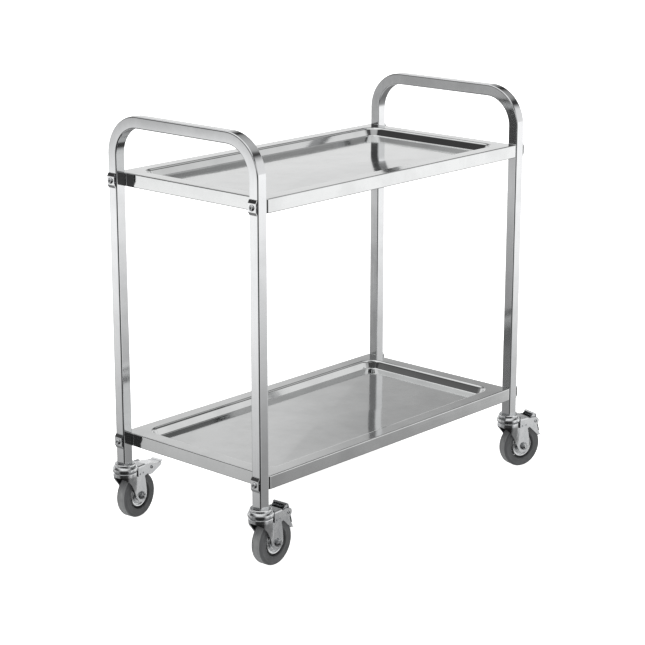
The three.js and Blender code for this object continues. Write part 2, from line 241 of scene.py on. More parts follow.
class Shell:
    """Collects the points and faces of one piece, in millimetres."""

    def __init__(self) -> None:
        """Starts an empty piece."""
        self.points: list[Vector] = []
        self.faces: list[tuple[int, ...]] = []
        self.marks: list[int] = []

    def grid(self, rows: Rows, wrap: bool = False, mark: int = 0) -> "Shell":
        """Adds a skin of four-sided faces over rows of points.

        Args:
            rows: rows with the same number of points.
            wrap: True if each row closes on itself.
            mark: index of the finish.

        Returns:
            The shell itself.
        """
        start, width = len(self.points), len(rows[0])
        self.points.extend(point for row in rows for point in row)
        for i in range(len(rows) - 1):
            for j in range(width if wrap else width - 1):
                a, b = start + i * width + j, start + i * width + (j + 1) % width
                self.faces.append((a, b, b + width, a + width))
                self.marks.append(mark)
        return self

    def cap(self, loop: Sequence[Vector], mark: int = 0) -> "Shell":
        """Adds one flat face.

        Args:
            loop: the points round it.
            mark: index of the finish.

        Returns:
            The shell itself.
        """
        start = len(self.points)
        self.points.extend(loop)
        self.faces.append(tuple(range(start, start + len(loop))))
        self.marks.append(mark)
        return self

    def turned(self, profile: Sequence[Pair], sides: int, axis: Axis = Axis.Z, mark: int = 0) -> "Shell":
        """Adds a body of revolution.

        Args:
            profile: points (radius, height) along the axis.
            sides: segments round the axis.
            axis: the axis of revolution.
            mark: index of the finish.

        Returns:
            The shell itself.
        """
        rows = []
        for radius, height in profile:
            ring = []
            for k in range(sides):
                a = math.tau * k / sides
                u, v = radius * math.cos(a), radius * math.sin(a)
                place = {Axis.X: (height, u, v), Axis.Y: (v, height, u), Axis.Z: (u, v, height)}[axis]
                ring.append(Vector(place))
            rows.append(ring)
        return self.grid(rows, wrap=True, mark=mark)

    def plate(self, outline: Sequence[Pair], low: float, high: float, axis: Axis = Axis.Y) -> "Shell":
        """Adds a flat plate.

        Args:
            outline: closed outline, (x, z) for a plate across Y and (y, z) for one across X.
            low: where the plate starts along its axis.
            high: where it ends.
            axis: the axis that the plate lies across, X or Y.

        Returns:
            The shell itself.
        """
        loops = []
        for depth in (low, high):
            if axis is Axis.Y:
                loops.append([Vector((a, depth, b)) for a, b in outline])
            else:
                loops.append([Vector((depth, a, b)) for a, b in outline])
        self.grid(loops, wrap=True)
        return self.cap(loops[0]).cap(loops[1])

    def halves(self, rows: Rows) -> "Shell":
        """Adds a skin and its mirror image across Y = 0.

        Args:
            rows: rows with the same number of points.

        Returns:
            The shell itself.
        """
        for side in (1, -1):
            self.grid([[Vector((p.x, side * p.y, p.z)) for p in row] for row in rows])
        return self

    def add(self, other: "Shell") -> "Shell":
        """Adds another piece's points and faces.

        Args:
            other: the other piece.

        Returns:
            The shell itself.
        """
        start = len(self.points)
        self.points.extend(other.points)
        self.faces.extend(tuple(i + start for i in face) for face in other.faces)
        self.marks.extend(other.marks)
        return self

    def moved(self, offset: Vector) -> "Shell":
        """Moves every point so far by offset."""
        self.points = [point + offset for point in self.points]
        return self

    def mesh(self, name: str, outward_from: Vector | None = None) -> bpy.types.Mesh:
        """Makes the Blender mesh, in metres.

        Args:
            name: name of the mesh.
            outward_from: for an open sheet, a point behind it; a closed piece needs none.

        Returns:
            The mesh, with its faces pointing out and smooth.
        """
        made = bmesh.new()
        corners = [made.verts.new(point * MM) for point in self.points]
        for face, mark in zip(self.faces, self.marks):
            if len(set(face)) > 2:
                made.faces.new([corners[i] for i in face]).material_index = mark
        bmesh.ops.remove_doubles(made, verts=made.verts, dist=WELD * MM)
        bmesh.ops.dissolve_degenerate(made, edges=made.edges, dist=WELD / 2 * MM)
        bmesh.ops.recalc_face_normals(made, faces=made.faces)
        if outward_from is not None:
            behind = outward_from * MM
            facing = sum(f.normal.dot(f.calc_center_median() - behind) * f.calc_area() for f in made.faces)
            if facing < 0:
                bmesh.ops.reverse_faces(made, faces=made.faces)
        for face in made.faces:
            face.smooth = True
        mesh = bpy.data.meshes.new(name)
        made.to_mesh(mesh)
        made.free()
        return mesh


@dataclass(frozen=True)
class Softening:
    """How a piece's edges are broken and its faces shaded.

    Attributes:
        sheet: thickness given to an open sheet, mm; 0 for a closed piece.
        edge: width of the broken edges, mm; 0 for none.
        angle: edges sharper than this are broken, degrees.
        flat: True to keep large flats shading flat right up to their rounded edges.
        cutter: pits and holes to cut out of the piece, if any.
    """

    sheet: float = 0.0
    edge: float = 0.0
    angle: float = 40.0
    flat: bool = True
    cutter: Shell | None = None

    @classmethod
    def smooth(cls, angle: float) -> "Softening":
        """For a turned piece: edges stay as drawn, shaded smooth up to an angle in degrees."""
        return cls(angle=angle, flat=False)


def stand(name: str, data: bpy.types.ID) -> bpy.types.Object:
    """Makes an object and links it to the scene.

    Args:
        name: its name.
        data: its mesh, lamp or camera.

    Returns:
        The object.
    """
    made = bpy.data.objects.new(name, data)
    bpy.context.scene.collection.objects.link(made)
    return made


def body_of(node: str) -> str:
    """The CAD body that a node rides on."""
    bodies = frame["record"]["behaviour"]["bodies"]
    return next(body for body, nodes in bodies.items() if node in nodes)


def soften(piece: bpy.types.Object, how: Softening) -> None:
    """Thickens a piece, cuts it and breaks its edges, and keeps the result as its mesh.

    Args:
        piece: the object with its mesh as drawn.
        how: sheet thickness, cutter and edges.
    """
    tool = None
    if how.sheet:
        sheet = piece.modifiers.new("sheet", "SOLIDIFY")
        sheet.thickness, sheet.offset = how.sheet * MM, -1.0
        sheet.use_even_offset = True
    if how.cutter is not None:
        tool = stand(f"{piece.name}_cutter", how.cutter.mesh("cutter"))
        cut = piece.modifiers.new("pits", "BOOLEAN")
        cut.operation, cut.object, cut.solver = "DIFFERENCE", tool, "EXACT"
    if how.edge:
        bevel = piece.modifiers.new("edges", "BEVEL")
        bevel.width, bevel.segments = how.edge * MM, 3
        bevel.limit_method, bevel.angle_limit = "ANGLE", math.radians(how.angle)
    if how.flat:
        weighted = piece.modifiers.new("flats", "WEIGHTED_NORMAL")
        weighted.weight, weighted.mode = 100, "FACE_AREA"
    else:
        piece.data.set_sharp_from_angle(angle=math.radians(how.angle))
    graph = bpy.context.evaluated_depsgraph_get()
    final = bpy.data.meshes.new_from_object(piece.evaluated_get(graph), depsgraph=graph)
    piece.modifiers.clear()
    piece.data = final
    if tool is not None:
        bpy.data.objects.remove(tool)


# ---- finishes -----------------------------------------------------------------------------


def linear(colour: str) -> tuple[float, float, float, float]:
    """Turns an sRGB colour into a linear one.

    Args:
        colour: the sRGB hex value, such as "#D6D7D9".

    Returns:
        Linear red, green, blue and alpha.
    """
    parts = [int(colour[i : i + 2], 16) / 255 for i in (1, 3, 5)]
    red, green, blue = (c / 12.92 if c <= 0.04045 else ((c + 0.055) / 1.055) ** 2.4 for c in parts)
    return (red, green, blue, 1.0)


def add_node(
    tree: bpy.types.NodeTree,
    kind: str,
    links: dict | None = None,
    stops: Sequence[tuple[float, str]] = (),
    **settings: str,
) -> bpy.types.Node:
    """Adds a node.

    Args:
        tree: the node tree.
        kind: the node's type name.
        links: inputs by name or index; a socket is linked, and any other value is set.
        stops: the two (position, sRGB hex) stops, for a node that grades colours.
        **settings: the node's own properties.

    Returns:
        The node.
    """
    node = tree.nodes.new(kind)
    for key, value in settings.items():
        setattr(node, key, value)
    for stop, (position, colour) in enumerate(stops):
        element = node.color_ramp.elements[stop]
        element.position, element.color = position, linear(colour)
    for key, value in (links or {}).items():
        if isinstance(value, bpy.types.NodeSocket):
            tree.links.new(value, node.inputs[key])
        else:
            node.inputs[key].default_value = value
    return node


def bare_material(name: str) -> tuple[bpy.types.Material, bpy.types.NodeTree, bpy.types.NodeSocket]:
    """Starts a material.

    Args:
        name: its name.

    Returns:
        The material, its empty node tree and the socket with the place on the piece.
    """
    material = bpy.data.materials.new(name)
    material.use_nodes = True
    material.node_tree.nodes.clear()
    place = add_node(material.node_tree, "ShaderNodeTexCoord").outputs["Object"]
    return material, material.node_tree, place


@dataclass(frozen=True)
class Metal:
    """Bare or plated metal with a worked surface.

    Attributes:
        name: the material's name.
        light: colour of the clean metal.
        dark: colour where it is a little dulled.
        smooth: lowest roughness.
        rough: highest roughness.
        line_mm: spacing of the marks that the work has left, across their run.
        run_mm: length of the marks.
        run_axis: the axis that the marks run along.
        relief_mm: depth that the marks are drawn with.
        blotch_mm: size of the dulled patches.
    """

    name: str
    light: str
    dark: str
    smooth: float
    rough: float
    line_mm: float
    run_mm: float
    run_axis: Axis
    relief_mm: float
    blotch_mm: float

    def build(self) -> bpy.types.Material:
        """Builds the material.

        Returns:
            The finished material.
        """
        material, tree, place = bare_material(self.name)
        across, down = 1 / (self.line_mm * MM), 1 / (self.run_mm * MM)
        scale = [down if axis is self.run_axis else across for axis in Axis]
        stretched = add_node(tree, "ShaderNodeMapping", {"Vector": place, "Scale": scale}).outputs[0]
        marks = add_node(tree, "ShaderNodeTexNoise", {"Vector": stretched, "Scale": 1.0, "Detail": 2.0})
        size = {"Vector": place, "Scale": 1 / (self.blotch_mm * MM), "Detail": 4.0, "Roughness": 0.6}
        blotch = add_node(tree, "ShaderNodeTexNoise", size).outputs[0]
        stops = ((0.35, self.dark), (0.6, self.light))
        colour = add_node(tree, "ShaderNodeValToRGB", {"Fac": blotch}, stops).outputs["Color"]
        pair = {0: marks.outputs[0], 1: blotch}
        both = add_node(tree, "ShaderNodeMath", pair, operation="ADD").outputs[0]
        spread = {"Value": both, "From Min": 0.7, "From Max": 1.3}
        spread.update({"To Min": self.smooth, "To Max": self.rough})
        sheen = add_node(tree, "ShaderNodeMapRange", spread).outputs[0]
        depth = {"Height": marks.outputs[0], "Strength": 1.0, "Distance": self.relief_mm * MM}
        relief = add_node(tree, "ShaderNodeBump", depth).outputs[0]
        metal = {"Base Color": colour, "Metallic": 1.0, "Roughness": sheen, "Normal": relief}
        shader = add_node(tree, "ShaderNodeBsdfPrincipled", metal)
        add_node(tree, "ShaderNodeOutputMaterial", {"Surface": shader.outputs[0]})
        return material


@dataclass(frozen=True)
class Rubber:
    """Moulded grey thermoplastic rubber: matt, with the faint grain of the mould.

    Attributes:
        name: the material's name.
        light: colour where the surface is scuffed.
        dark: colour of the clean rubber.
        roughness: how matt it is.
        grain_mm: size of the grain.
        relief_mm: depth of the grain.
        cloud_mm: size of the scuffed patches.
    """

    name: str
    light: str
    dark: str
    roughness: float
    grain_mm: float
    relief_mm: float
    cloud_mm: float = 18.0

    def build(self) -> bpy.types.Material:
        """Builds the material.

        Returns:
            The finished material.
        """
        material, tree, place = bare_material(self.name)
        fine = {"Vector": place, "Scale": 1 / (self.grain_mm * MM), "Detail": 3.0}
        grain = add_node(tree, "ShaderNodeTexNoise", fine).outputs[0]
        coarse = {"Vector": place, "Scale": 1 / (self.cloud_mm * MM), "Detail": 3.0}
        cloud = add_node(tree, "ShaderNodeTexNoise", coarse).outputs[0]
        stops = ((0.35, self.dark), (0.7, self.light))
        colour = add_node(tree, "ShaderNodeValToRGB", {"Fac": cloud}, stops).outputs["Color"]
        depth = {"Height": grain, "Strength": 0.6, "Distance": self.relief_mm * MM}
        relief = add_node(tree, "ShaderNodeBump", depth).outputs[0]
        rubber = {"Base Color": colour, "Roughness": self.roughness, "Normal": relief, "IOR": 1.52}
        shader = add_node(tree, "ShaderNodeBsdfPrincipled", rubber)
        add_node(tree, "ShaderNodeOutputMaterial", {"Surface": shader.outputs[0]})
        return material


# Mirror-polished stainless tube: long belt marks, almost no haze, so its faces read as clean
# light and dark reflections. The marks are drawn coarser than a real grit's, so that they show.
POLISHED_TUBE = Metal(
    "polished_stainless_tube", light="#E2E3E4", dark="#DADBDC", smooth=0.04, rough=0.1,
    line_mm=1.6, run_mm=70, run_axis=Axis.Z, relief_mm=0.0005, blotch_mm=60,
)
# Bright-rolled stainless sheet, pressed: a faint rolling grain softens what it mirrors. The grain
# is drawn coarser than the real one, so that it shows.
ROLLED_SHEET = Metal(
    "bright_rolled_stainless_sheet", light="#E0E1E1", dark="#D7D8D8", smooth=0.05, rough=0.11,
    line_mm=2.0, run_mm=120, run_axis=Axis.X, relief_mm=0.0006, blotch_mm=80,
)
# Bright zinc electroplate on pressed steel: a little hazy, with soft mottling.
ZINC = Metal(
    "bright_zinc_electroplate", light="#E0E1E2", dark="#D6D8DA", smooth=0.13, rough=0.22,
    line_mm=3.0, run_mm=6.0, run_axis=Axis.Z, relief_mm=0.0003, blotch_mm=14,
)
# Zinc-plated pressed wheel disc: duller than the fork, since it is tumbled in bulk.
DISC = Metal(
    "zinc_plated_wheel_disc", light="#E2E3E4", dark="#D6D8D9", smooth=0.2, rough=0.34,
    line_mm=2.0, run_mm=4.0, run_axis=Axis.Y, relief_mm=0.0005, blotch_mm=8,
)
# Bright nickel plate on the bolts: small, hard highlights.
NICKEL = Metal(
    "bright_nickel_plate", light="#D0D1D2", dark="#B9BBBD", smooth=0.12, rough=0.22,
    line_mm=1.5, run_mm=3.0, run_axis=Axis.Z, relief_mm=0.0008, blotch_mm=4,
)
# Clean side wall of a grey, non-marking tyre: even and matt.
SIDE_WALL = Rubber(
    "grey_rubber_side_wall", light="#4A4B4C", dark="#404142", roughness=0.52, grain_mm=0.8, relief_mm=0.04
)
# Its tread, scuffed paler and rougher by the floor, with painted light as well: its colour is also made paler
# to stand for the brighter look that the tread has under the studio light.
TREAD = Rubber(
    "grey_rubber_tread_scuff_and_painted_light", light="#737474", dark="#626364", roughness=0.76, grain_mm=0.7,
    relief_mm=0.06,
)


class Workshop:
    """Holds the built finishes, and makes and dresses each piece with them."""

    def __init__(self) -> None:
        """Builds each finish once."""
        looks = {
            Slot.POLISHED: (POLISHED_TUBE,),
            Slot.TRAY: (ROLLED_SHEET,),
            Slot.ZINC: (ZINC,),
            Slot.DISC: (DISC,),
            Slot.FASTENERS: (NICKEL,),
            Slot.RUBBER: (SIDE_WALL, TREAD),
        }
        self.finishes = {slot: [look.build() for look in marks] for slot, marks in looks.items()}

    def settle(
        self,
        shell: Shell,
        node: str,
        slot: Slot,
        place: Matrix,
        how: Softening = Softening(),
        outward_from: Vector | None = None,
    ) -> None:
        """Makes a piece, dresses it and lets it ride in place of its CAD node.

        Args:
            shell: the piece's points and faces.
            node: the CAD node that it stands for.
            slot: the record's material slot, which sets its finishes by mark.
            place: where the piece's own frame lies in the trolley's frame.
            how: sheet thickness and edges.
            outward_from: a point behind an open sheet.
        """
        piece = stand(f"{node}_detail", shell.mesh(node, outward_from))
        for finish in self.finishes[slot]:
            piece.data.materials.append(finish)
        soften(piece, how)
        piece.matrix_world = place
        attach(piece, body_of(node))
        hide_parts(node)
        LOG.info("%s: %d faces", piece.name, len(piece.data.polygons))


# ---- end frames ---------------------------------------------------------------------------


def node_box(node: str) -> tuple[Vector, Vector]:
    """Lowest and highest corner of a CAD node, in millimetres."""
    low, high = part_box(node)
    return low / MM, high / MM


@dataclass(frozen=True)
class EndFrame:
    """One bent square tube: a leg, a bend, the push handle, a bend and a leg.

    Attributes:
        node: the CAD node.
        wall: tube wall, mm.
        corner: outside corner radius of the tube, mm.
        bend: radius of the centre line of each bend, mm.
        bend_steps: segments in a bend.
    """

    node: str
    wall: float = 1.2
    corner: float = 3.0
    bend: float = 75.0
    bend_steps: int = 28

    def section(self, half: float, corner: float) -> list[Pair]:
        """Outline of the square tube, (along X, outwards in the frame's plane)."""
        return rounded([(a * half, b * half, corner) for a, b in QUADRANTS], 6, closed=True)

    def stations(self, low: Vector, high: Vector) -> list[tuple[Vector, Vector]]:
        """Lays out the centre line of the tube.

        Args:
            low: lowest corner of the frame's box.
            high: highest corner of the frame's box.

        Returns:
            Points of the line, each with the direction out of the frame's opening.
        """
        tube = (high.x - low.x) / 2
        x, top = (low.x + high.x) / 2, high.z - tube - self.bend
        middle = (low.y + high.y) / 2
        reach = (high.y - low.y) / 2 - tube - self.bend
        line = []
        for side in (-1, 1):
            for k in range(self.bend_steps + 1):
                a = math.radians((180 if side < 0 else 90) - 90 * k / self.bend_steps)
                out = Vector((0, math.cos(a), math.sin(a)))
                line.append((Vector((x, middle + side * reach, top)) + out * self.bend, out))
        first, last = line[0], line[-1]
        foot = Vector((0, 0, low.z - first[0].z))
        return [(first[0] + foot, first[1]), *line, (last[0] + foot, last[1])]

    def build(self, shop: Workshop) -> None:
        """Builds and dresses the frame.

        Args:
            shop: the workshop.
        """
        low, high = node_box(self.node)
        half = (high.x - low.x) / 2
        stations = self.stations(low, high)
        middle = Vector(((low.x + high.x) / 2, (low.y + high.y) / 2, 0))
        shell = Shell()
        skins = []
        for size, corner in ((half, self.corner), (half - self.wall, self.corner - self.wall)):
            outline = self.section(size, corner)
            rows = [[p + Vector((a, 0, 0)) + out * b - middle for a, b in outline] for p, out in stations]
            shell.grid(rows, wrap=True)
            skins.append(rows)
        for end in (0, -1):
            shell.grid([skins[0][end], skins[1][end]], wrap=True)
        shop.settle(shell, self.node, Slot.POLISHED, Matrix.Translation(middle * MM))


# ---- trays --------------------------------------------------------------------------------


@dataclass(frozen=True)
class Tray:
    """A pressed tray: hem, apron, flat border, rounded lip, sloping wall and sunk floor.

    Attributes:
        node: the CAD node.
        sheet: sheet thickness, mm.
        hem: width of the edge turned in underneath, mm.
        border: width of the flat border, mm.
        depth: depth of the recess, mm.
        corner: outside corner radius, mm.
        recess_corner: corner radius of the recess at the border, mm.
        crown: how far the floor bows up at its middle, mm.
        nut: radius and thickness of a weld nut behind each bolt, mm.
        leg_inset: distance of the bolts from the long edges, mm.
        rings: sizes of the rings that the crowned floor is drawn with, as shares of its outline.
    """

    node: str
    sheet: float = 1.2
    hem: float = 12.0
    border: float = 30.0
    depth: float = 18.0
    corner: float = 6.0
    recess_corner: float = 35.0
    crown: float = 1.4
    nut: Pair = (7.5, 6.5)
    leg_inset: float = 12.5
    rings: tuple[float, ...] = (1.0, 0.9, 0.78, 0.64, 0.5, 0.36, 0.22, 0.1)

    def loop(self, half: Vector, inset: float, height: float) -> list[Vector]:
        """Draws a rounded rectangle that lies inset from the tray's outer edge.

        Args:
            half: half the tray's size.
            inset: distance from the outer edge, mm.
            height: height from the border, mm.

        Returns:
            The points of the closed loop.
        """
        radius = self.recess_corner + self.border - inset
        if inset < self.border - 1:
            radius = max(self.corner - inset, 2.5)
        corners = [(a * (half.x - inset), b * (half.y - inset), radius) for a, b in QUADRANTS]
        return [Vector((a, b, height)) for a, b in rounded(corners, 12, closed=True)]

    def face_line(self, apron: float) -> list[Pair]:
        """Draws the outer line of the pressing, from hem to floor.

        Args:
            apron: height of the apron, mm.

        Returns:
            Points (inset, height from the border).
        """
        edge, deep = self.border, -self.depth
        hem = [(self.hem, -apron, 0), (0, -apron, 1.8), (0, 0, 2.4)]
        return rounded([*hem, (edge + 4.4, 0, 7.5), (edge + 12.4, deep, 7.0), (edge + 16.5, deep, 0)], 7)

    def back_line(self, apron: float) -> list[Pair]:
        """Draws the inner line of the pressing, a sheet's thickness behind the outer one.

        Args:
            apron: height of the apron, mm.

        Returns:
            Points (inset, height from the border).
        """
        edge, t = self.border, self.sheet
        deep = -self.depth - t
        hem = [(self.hem, t - apron, 0), (t, t - apron, 0.6), (t, -t, 1.2)]
        return rounded([*hem, (edge + 3.7, -t, 6.3), (edge + 11.7, deep, 8.2), (edge + 16.5, deep, 0)], 7)

    def crowned(self, outline: list[Vector]) -> Rows:
        """Rings of the floor inside its outline, bowed up towards the middle."""
        lift = [(k, self.crown * (1 - k * k) ** 2) for k in self.rings]
        return [[Vector((p.x * k, p.y * k, p.z + up)) for p in outline] for k, up in lift]

    def build(self, shop: Workshop) -> None:
        """Builds and dresses the tray.

        Args:
            shop: the workshop.
        """
        low, high = node_box(self.node)
        half, middle = (high - low) / 2, (high + low) / 2
        apron = high.z - low.z
        shell = Shell()
        face = [self.loop(half, d, z) for d, z in self.face_line(apron)]
        back = [self.loop(half, d, z) for d, z in self.back_line(apron)]
        shell.grid(face, wrap=True).grid(back, wrap=True)
        shell.grid([face[0], back[0]], wrap=True)
        for rows in (face, back):
            floor = self.crowned(rows[-1])
            shell.grid(floor, wrap=True).cap(floor[-1])
        radius, thick = self.nut
        near = half.x - self.sheet
        for sx, sy in QUADRANTS:
            outline = arc((sy * (half.y - self.leg_inset), -apron / 2), radius, 0, 300, 5)
            ends = sorted((sx * near, sx * (near - thick)))
            shell.plate(outline, ends[0], ends[1], axis=Axis.X)
        place = Matrix.Translation(Vector((middle.x, middle.y, high.z)) * MM)
        shop.settle(shell, self.node, Slot.TRAY, place)


# ---- saddle plates and bolts --------------------------------------------------------------


@dataclass(frozen=True)
class LegFixing:
    """A bent saddle plate on the outer face of a leg, and the button-head bolt through it.

    Attributes:
        level: the tray that it holds.
        corner: the leg that it is on.
        sheet: thickness of the saddle, mm.
        flat: height of its flat middle, mm.
        toe: height of the bent-in ends where they touch the leg, mm.
        trim: how much smaller the plate is than its space, (proud of the leg, high, wide), mm.
        head: radius of the bolt's head, mm.
        dome: height of the bolt's head, mm.
        shank: radius of the bolt's shank, mm.
        socket: half the width across the flats of its socket, mm.
        socket_depth: depth of the socket, mm.
    """

    level: Level
    corner: Leg
    sheet: float = 1.6
    flat: float = 18.6
    toe: float = 1.0
    trim: Corner = (2.2, 5.0, 3.2)
    head: float = 6.5
    dome: float = 3.6
    shank: float = 4.0
    socket: float = 2.3
    socket_depth: float = 2.4

    def build(self, shop: Workshop) -> None:
        """Builds and dresses the plate and the bolt.

        Args:
            shop: the workshop.
        """
        saddle, bolt = f"{self.level}_saddle_{self.corner}", f"{self.level}_bolt_{self.corner}"
        low, high = node_box(saddle)
        outward = -1 if self.corner in (Leg.FRONT_LEFT, Leg.BACK_LEFT) else 1
        seat = high.x if outward < 0 else low.x
        centre = Vector((seat, (low.y + high.y) / 2, (low.z + high.z) / 2))
        turn = Matrix.Rotation(math.pi if outward < 0 else 0.0, 4, "Z")
        place = Matrix.Translation(centre * MM) @ turn
        lower, up, wide = self.trim
        proud = high.x - low.x - lower
        strip = self.strip(proud, (high.z - low.z - up) / 2, (high.y - low.y - wide) / 2)
        shop.settle(strip, saddle, Slot.POLISHED, place, Softening(edge=0.35))
        bolt_low, bolt_high = node_box(bolt)
        inner = bolt_low.x - seat if outward > 0 else seat - bolt_high.x
        shop.settle(self.button(proud, inner), bolt, Slot.FASTENERS, place, Softening.smooth(35))

    def strip(self, proud: float, half: float, wide: float) -> Shell:
        """Draws the saddle plate, standing on X = 0 of its own frame.

        Args:
            proud: how far it stands off the leg, mm.
            half: half its height, mm.
            wide: half its width, mm.

        Returns:
            The plate.
        """
        f, t = self.flat / 2, self.sheet
        outer = [(self.toe, -half, 0.4), (proud, -f, 2.0), (proud, f, 2.0), (self.toe, half, 0.4)]
        deep = proud - t
        inner = [(0, half, 0.3), (0, half - t, 0.3), (deep, f - t / 2, 1.0)]
        inner += [(deep, t / 2 - f, 1.0), (0, t - half, 0.3), (0, -half, 0.3)]
        return Shell().plate(rounded([*outer, *inner], 5, closed=True), -wide, wide)

    def button(self, base: float, end: float) -> Shell:
        """Draws the bolt along X.

        Args:
            base: where its head is seated, mm.
            end: where its shank ends, mm.

        Returns:
            The bolt.
        """
        top, shank = base + self.dome, self.shank
        rim = [(shank, base, 0), (self.head, base, 0.3), (self.head, base + 1.0, 0.6)]
        head = rounded([*rim, (4.6, top, 2.2), (3.2, top, 0)], 5)
        angles = [math.tau * k / 36 for k in range(36)]
        rows = [[Vector((h, r * math.cos(a), r * math.sin(a))) for a in angles] for r, h in head]
        flats = [(a, hexagon_radius(self.socket, a)) for a in angles]
        for depth in (top - 0.1, top - self.socket_depth):
            rows.append([Vector((depth, r * math.cos(a), r * math.sin(a))) for a, r in flats])
        shell = Shell().grid(rows, wrap=True).cap(rows[-1])
        return shell.turned([(shank, base), (shank, end + 0.8), (shank - 0.8, end), (0, end)], 24, Axis.X)


# ---- casters ------------------------------------------------------------------------------


@dataclass(frozen=True)
class Seat:
    """Where a caster stands, worked out from its joints.

    Attributes:
        corner: the leg above it.
        swivel: where the swivel axis meets the floor, mm.
        heading: direction in which the wheel trails, radians.
        trail: distance of the axle behind the swivel axis, mm.
        axle: height of the axle, mm.
        pin: distance of the pedal pin behind the swivel axis and its height, mm.
        brake: state of the brake.
        swing: angle between brake off and brake on, radians.
    """

    corner: Leg
    swivel: Vector
    heading: float
    trail: float
    axle: float
    pin: Pair
    brake: Brake
    swing: float

    @classmethod
    def of(cls, corner: Leg) -> "Seat":
        """Reads a caster's seat from the frame's joints.

        Args:
            corner: the leg above it.

        Returns:
            The seat.
        """
        joints = {joint["name"]: joint for joint in frame["joints"]}
        names = [f"{corner}_{part}" for part in ("swivel", "roll", "brake")]
        swivel, axle, pin = (Vector(joints[name]["pos_m"]) / MM for name in names)
        low, high = joints[names[-1]]["range_deg"]
        run = axle - swivel
        foot = Vector((swivel.x, swivel.y, 0))
        return cls(
            corner,
            foot,
            math.atan2(run.y, run.x),
            run.to_2d().length,
            axle.z,
            ((pin - swivel).to_2d().length, pin.z),
            Brake.ON if low < 0 else Brake.OFF,
            math.radians(high - low),
        )

    def place(self, forward: float = 0.0, height: float = 0.0) -> Matrix:
        """Frame with +X trailing, set forward along the heading and up from the floor."""
        offset = Matrix.Translation(Vector((forward, 0, height)) * MM)
        return Matrix.Translation(self.swivel * MM) @ Matrix.Rotation(self.heading, 4, "Z") @ offset


@dataclass(frozen=True)
class Stem:
    """Square plug, collar and domed race cover that stay with the leg.

    Attributes:
        dome: widest radius, mm.
        neck: radius of the groove under it, mm.
        collar: radius of the collar, mm.
        plug: half the width of the square plug, mm.
        plug_run: heights between which the plug runs, mm.
    """

    dome: float = 27.0
    neck: float = 23.4
    collar: float = 21.4
    plug: float = 11.0
    plug_run: Pair = (130.0, 168.0)

    def build(self, seat: Seat, shop: Workshop) -> None:
        """Builds and dresses the stem.

        Args:
            seat: where the caster stands.
            shop: the workshop.
        """
        corners = [
            (0, 104.6, 0), (8.5, 104.6, 0.8), (9.4, 109.2, 0.4), (5, 109.2, 0), (5, 112.3, 0),
            (self.neck, 112.3, 0.3), (self.neck, 113.0, 0.2), (self.dome - 0.4, 113.2, 0.6),
            (self.dome, 115.0, 2.0), (self.dome, 120.4, 4.0), (23.8, 124.6, 2.4), (22.0, 125.6, 0.6),
            (22.0, 126.6, 0.3), (22.8, 127.0, 0.4), (22.6, 129.6, 0.8), (self.collar, 130.7, 0.8),
            (0, 130.7, 0),
        ]
        shell = Shell().turned(rounded(corners, 5), 72)
        square = rounded([(a * self.plug, b * self.plug, 2) for a, b in QUADRANTS], 4, closed=True)
        loops = [[Vector((a, b, z)) for a, b in square] for z in self.plug_run]
        shell.grid(loops, wrap=True).cap(loops[0]).cap(loops[1])
        place = Matrix.Translation(seat.swivel * MM)
        shop.settle(shell, f"{seat.corner}_stem", Slot.ZINC, place, Softening.smooth(45))


